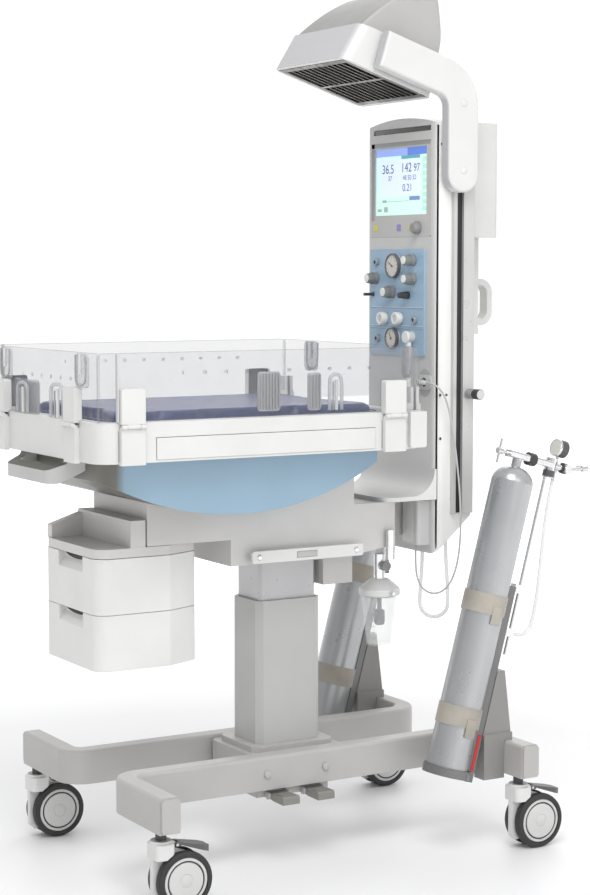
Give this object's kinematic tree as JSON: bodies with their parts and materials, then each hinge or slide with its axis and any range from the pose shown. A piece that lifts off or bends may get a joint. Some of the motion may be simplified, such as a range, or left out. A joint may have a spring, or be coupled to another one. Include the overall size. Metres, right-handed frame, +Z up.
{
  "type": "infant radiant warmer",
  "caption": "Castered infant warmer with a lifting column, tilting bassinet with fold-down clear walls, console, swivel drawers, gas cylinders and a radiant hood on a side arm.",
  "frame": {"origin": "on the floor, in the middle between the four caster swivels", "axes": "+Z up, -Y towards the foot end and the drawers, +Y towards the console, +X towards the side with the accessory rail and the hood arm"},
  "size_m": [0.722, 1.286, 1.9493],
  "materials": {
    "frame_paint": "satin warm light grey powder coat",
    "rail_paint": "extrusion with satin warm light grey powder coat",
    "cover_grey": "satin warm light grey moulded cover",
    "column_paint": "satin mid warm grey",
    "white_moulding": "fine-grained white moulding",
    "console_moulding": "warm light grey moulding",
    "blue_panel": "satin steel blue",
    "keel_blue": "satin light steel blue moulding",
    "clear_wall": "clear polished acrylic",
    "pad_cover": "navy coated cloth",
    "screen": "screen with dark bezel",
    "grey_moulding": "mid grey moulding",
    "pedal_moulding": "beige grey ribbed moulding",
    "dark_moulding": "near black moulding",
    "tyre_grey": "mid grey non-marking tread with light disc",
    "bright_metal": "bright plated",
    "brushed": "fine brushed",
    "anodised": "silver anodised",
    "cylinder_silver": "satin silver",
    "strap_taupe": "taupe webbing",
    "jar_clear": "clear moulded jar",
    "cord_grey": "soft grey sheath",
    "hose_clear": "translucent soft tube",
    "knob_grey": "grey moulding with white front face"
  },
  "bodies": {
    "base": {"base_rails": "rail_paint", "column_plinth": "cover_grey", "column_outer": "column_paint", "cylinder_stands": "frame_paint", "cylinder_racks": "frame_paint", "gas_cylinders": "cylinder_silver", "cylinder_straps": "strap_taupe", "cylinder_regulators": "bright_metal", "regulator_hose": "hose_clear"},
    "lift": {"column_inner": "anodised", "carrier_beam": "cover_grey", "accessory_rail": "brushed", "console_shell": "console_moulding", "console_tracks": "anodised", "display_unit": "screen", "gas_panel": "blue_panel", "console_fittings": "grey_moulding", "suction_unit": "grey_moulding", "suction_jar": "jar_clear", "rear_fittings": "white_moulding", "hood_housing": "white_moulding", "hood_grille": "brushed", "hood_dome": "grey_moulding", "heater_unit": "bright_metal", "probe_cable": "cord_grey", "breathing_hose": "hose_clear"},
    "bed": {"bed_keel": "keel_blue", "bed_tray": "white_moulding", "mattress": "pad_cover", "push_handle": "grey_moulding"},
    "cassette": {"cassette_tray": "white_moulding"},
    "wall_near": {"panel_near": "clear_wall"},
    "wall_far": {"panel_far": "clear_wall"},
    "wall_front": {"panel_front": "clear_wall"},
    "wall_rear": {"panel_rear": "clear_wall"},
    "drawer_top": {"drawer_upper": "white_moulding"},
    "drawer_bottom": {"drawer_lower": "white_moulding"},
    "pedal_raise": {"pedal_up": "pedal_moulding"},
    "pedal_lower": {"pedal_down": "pedal_moulding"},
    "screw_near": {"yoke_handle_near": "bright_metal"},
    "screw_far": {"yoke_handle_far": "bright_metal"},
    "dial": {"display_knob": "grey_moulding"},
    "flow_knob": {"knob_flow": "knob_grey"},
    "pressure_knob": {"knob_pressure": "knob_grey"},
    "blend_knob": {"knob_blend": "knob_grey"},
    "suction_knob": {"knob_suction": "knob_grey"},
    "relief_knob": {"knob_relief": "dark_moulding"},
    "toggle": {"gas_toggle": "bright_metal"},
    "swivel_front_near": {"caster_fork_front_near": "grey_moulding"},
    "wheel_front_near": {"caster_wheels_front_near": "tyre_grey"},
    "brake_front_near": {"caster_brake_front_near": "dark_moulding"},
    "swivel_front_far": {"caster_fork_front_far": "grey_moulding"},
    "wheel_front_far": {"caster_wheels_front_far": "tyre_grey"},
    "brake_front_far": {"caster_brake_front_far": "dark_moulding"},
    "swivel_rear_near": {"caster_fork_rear_near": "grey_moulding"},
    "wheel_rear_near": {"caster_wheels_rear_near": "tyre_grey"},
    "brake_rear_near": {"caster_brake_rear_near": "dark_moulding"},
    "swivel_rear_far": {"caster_fork_rear_far": "grey_moulding"},
    "wheel_rear_far": {"caster_wheels_rear_far": "tyre_grey"},
    "brake_rear_far": {"caster_brake_rear_far": "dark_moulding"}
  },
  "joints": [
    {"name": "swivel_front_near", "type": "hinge", "parent": "base", "child": "swivel_front_near", "pos_m": [0.32, -0.45, 0.168], "axis": [0, 0, 1], "continuous": true},
    {"name": "roll_front_near", "type": "hinge", "parent": "swivel_front_near", "child": "wheel_front_near", "pos_m": [0.32, -0.406, 0.0625], "axis": [1, 0, 0], "continuous": true},
    {"name": "brake_front_near", "type": "hinge", "parent": "swivel_front_near", "child": "brake_front_near", "pos_m": [0.32, -0.42, 0.1385], "axis": [-1, 0, 0], "range_deg": [0, 8]},
    {"name": "swivel_front_far", "type": "hinge", "parent": "base", "child": "swivel_front_far", "pos_m": [-0.32, -0.45, 0.168], "axis": [0, 0, 1], "continuous": true},
    {"name": "roll_front_far", "type": "hinge", "parent": "swivel_front_far", "child": "wheel_front_far", "pos_m": [-0.32, -0.406, 0.0625], "axis": [1, 0, 0], "continuous": true},
    {"name": "brake_front_far", "type": "hinge", "parent": "swivel_front_far", "child": "brake_front_far", "pos_m": [-0.32, -0.42, 0.1385], "axis": [-1, 0, 0], "range_deg": [0, 8]},
    {"name": "swivel_rear_near", "type": "hinge", "parent": "base", "child": "swivel_rear_near", "pos_m": [0.32, 0.46, 0.168], "axis": [0, 0, 1], "continuous": true},
    {"name": "roll_rear_near", "type": "hinge", "parent": "swivel_rear_near", "child": "wheel_rear_near", "pos_m": [0.32, 0.504, 0.0625], "axis": [1, 0, 0], "continuous": true},
    {"name": "brake_rear_near", "type": "hinge", "parent": "swivel_rear_near", "child": "brake_rear_near", "pos_m": [0.32, 0.49, 0.1385], "axis": [-1, 0, 0], "range_deg": [0, 8]},
    {"name": "swivel_rear_far", "type": "hinge", "parent": "base", "child": "swivel_rear_far", "pos_m": [-0.32, 0.46, 0.168], "axis": [0, 0, 1], "continuous": true},
    {"name": "roll_rear_far", "type": "hinge", "parent": "swivel_rear_far", "child": "wheel_rear_far", "pos_m": [-0.32, 0.504, 0.0625], "axis": [1, 0, 0], "continuous": true},
    {"name": "brake_rear_far", "type": "hinge", "parent": "swivel_rear_far", "child": "brake_rear_far", "pos_m": [-0.32, 0.49, 0.1385], "axis": [-1, 0, 0], "range_deg": [0, 8]},
    {"name": "lift", "type": "slide", "parent": "base", "child": "lift", "axis": [0, 0, 1], "range_m": [-0.07, 0.17]},
    {"name": "tilt", "type": "hinge", "parent": "lift", "child": "bed", "pos_m": [0, -0.2195, 1.458], "axis": [1, 0, 0], "range_deg": [-10, 10]},
    {"name": "cassette_slide", "type": "slide", "parent": "bed", "child": "cassette", "axis": [-1, 0, 0], "range_m": [-0.35, 0]},
    {"name": "wall_near_fold", "type": "hinge", "parent": "bed", "child": "wall_near", "pos_m": [0.3135, 0, 1.001], "axis": [0, 1, 0], "range_deg": [0, 170]},
    {"name": "wall_far_fold", "type": "hinge", "parent": "bed", "child": "wall_far", "pos_m": [-0.3135, 0, 1.001], "axis": [0, -1, 0], "range_deg": [0, 170]},
    {"name": "wall_front_fold", "type": "hinge", "parent": "bed", "child": "wall_front", "pos_m": [0, -0.5885, 1.001], "axis": [1, 0, 0], "range_deg": [0, 165]},
    {"name": "wall_rear_lift", "type": "slide", "parent": "bed", "child": "wall_rear", "axis": [0, 0, 1], "range_m": [0, 0.13]},
    {"name": "drawer_upper_swing", "type": "hinge", "parent": "lift", "child": "drawer_top", "pos_m": [0, -0.3, 0.65], "axis": [0, 0, 1], "range_deg": [-45, 45]},
    {"name": "drawer_lower_swing", "type": "hinge", "parent": "lift", "child": "drawer_bottom", "pos_m": [0, -0.3, 0.53], "axis": [0, 0, -1], "range_deg": [-45, 45]},
    {"name": "pedal_up_press", "type": "hinge", "parent": "base", "child": "pedal_raise", "pos_m": [0.134, -0.066, 0.151], "axis": [0, 1, 0], "range_deg": [0, 8], "stiffness_Nm_per_rad": 6, "springref_deg": -2.86},
    {"name": "pedal_down_press", "type": "hinge", "parent": "base", "child": "pedal_lower", "pos_m": [0.134, 0.024, 0.151], "axis": [0, 1, 0], "range_deg": [0, 8], "stiffness_Nm_per_rad": 6, "springref_deg": -2.86},
    {"name": "screw_near", "type": "hinge", "parent": "base", "child": "screw_near", "pos_m": [0.27, 0.43607, 0.90831], "axis": [0, -0.9646, 0.2639], "range_deg": [-180, 180]},
    {"name": "screw_far", "type": "hinge", "parent": "base", "child": "screw_far", "pos_m": [-0.27, 0.43607, 0.90831], "axis": [0, -0.9646, 0.2639], "range_deg": [-180, 180]},
    {"name": "dial_turn", "type": "hinge", "parent": "lift", "child": "dial", "pos_m": [0.073, 0.33, 1.412], "axis": [0, -1, 0], "continuous": true},
    {"name": "flow_turn", "type": "hinge", "parent": "lift", "child": "flow_knob", "pos_m": [0.061, 0.33, 1.338], "axis": [0, -1, 0], "range_deg": [-135, 135]},
    {"name": "pressure_turn", "type": "hinge", "parent": "lift", "child": "pressure_knob", "pos_m": [-0.096, 0.33, 1.296], "axis": [0, -1, 0], "range_deg": [-135, 135]},
    {"name": "blend_turn", "type": "hinge", "parent": "lift", "child": "blend_knob", "pos_m": [0.062, 0.33, 1.295], "axis": [0, -1, 0], "range_deg": [-135, 135]},
    {"name": "suction_turn", "type": "hinge", "parent": "lift", "child": "suction_knob", "pos_m": [-0.026, 0.33, 1.264], "axis": [0, -1, 0], "range_deg": [-135, 135]},
    {"name": "relief_turn", "type": "hinge", "parent": "lift", "child": "relief_knob", "pos_m": [0.041, 0.33, 1.257], "axis": [0, -1, 0], "range_deg": [-135, 135]},
    {"name": "toggle_flip", "type": "hinge", "parent": "lift", "child": "toggle", "pos_m": [-0.109, 0.338, 1.258], "axis": [1, 0, 0], "range_deg": [-15, 15]}
  ]
}
